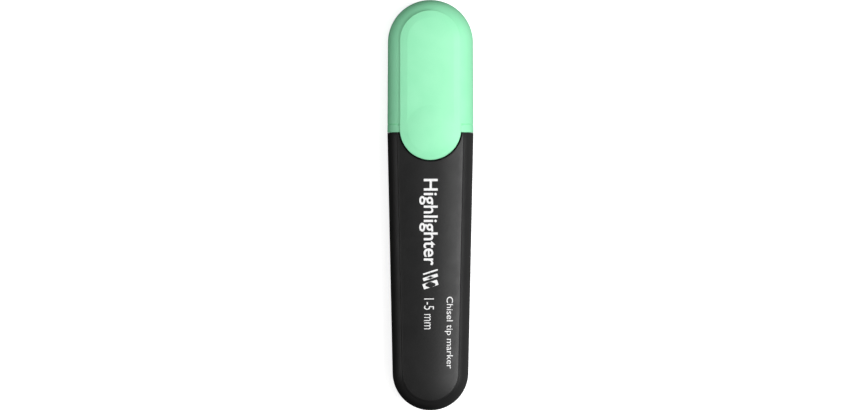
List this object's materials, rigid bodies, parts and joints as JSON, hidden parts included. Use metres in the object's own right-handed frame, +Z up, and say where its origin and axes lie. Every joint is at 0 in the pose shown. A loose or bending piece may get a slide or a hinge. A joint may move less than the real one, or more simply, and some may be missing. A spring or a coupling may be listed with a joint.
{
  "type": "highlighter",
  "caption": "Flat highlighter pen with a pull-off cap, a short pocket clip with a thumb dome, a chisel nib and a fibre ink reservoir.",
  "frame": {"origin": "under the middle of the capped pen, on the plane of the flat back panels it lies on", "axes": "+X across the width, +Y from the tail to the cap tip, +Z up through the front face with the clip"},
  "size_m": [0.027, 0.1288, 0.0175],
  "materials": {
    "black_plastic": "injection moulded polypropylene with a fine satin grain",
    "mint_plastic": "injection moulded polypropylene, pastel mint, soft gloss",
    "natural_plastic": "natural polypropylene, satin",
    "nib_felt": "bonded polyester fibre soaked with ink",
    "inked_fibre": "bundled polyester fibre soaked with ink",
    "clear_film": "thin clear film wrapped round the fibre",
    "soft_liner": "low density polyethylene, slightly waxy"
  },
  "bodies": {
    "pen_barrel": {"barrel": "black_plastic", "front_section": "natural_plastic", "nib": "nib_felt", "reservoir_core": "inked_fibre", "reservoir_sleeve": "clear_film"},
    "pen_cap": {"cap": "mint_plastic", "inner_cap": "soft_liner"},
    "pen_clip": {"clip": "mint_plastic"}
  },
  "joints": [
    {"name": "cap_pull", "type": "slide", "parent": "pen_barrel", "child": "pen_cap", "axis": [0, 1, 0], "range_m": [0, 0.045]},
    {"name": "clip_flex", "type": "hinge", "parent": "pen_cap", "child": "pen_clip", "pos_m": [0, 0.02587, 0.01586], "axis": [-1, 0, 0], "range_deg": [0, 5], "stiffness_Nm_per_rad": 0.38}
  ]
}
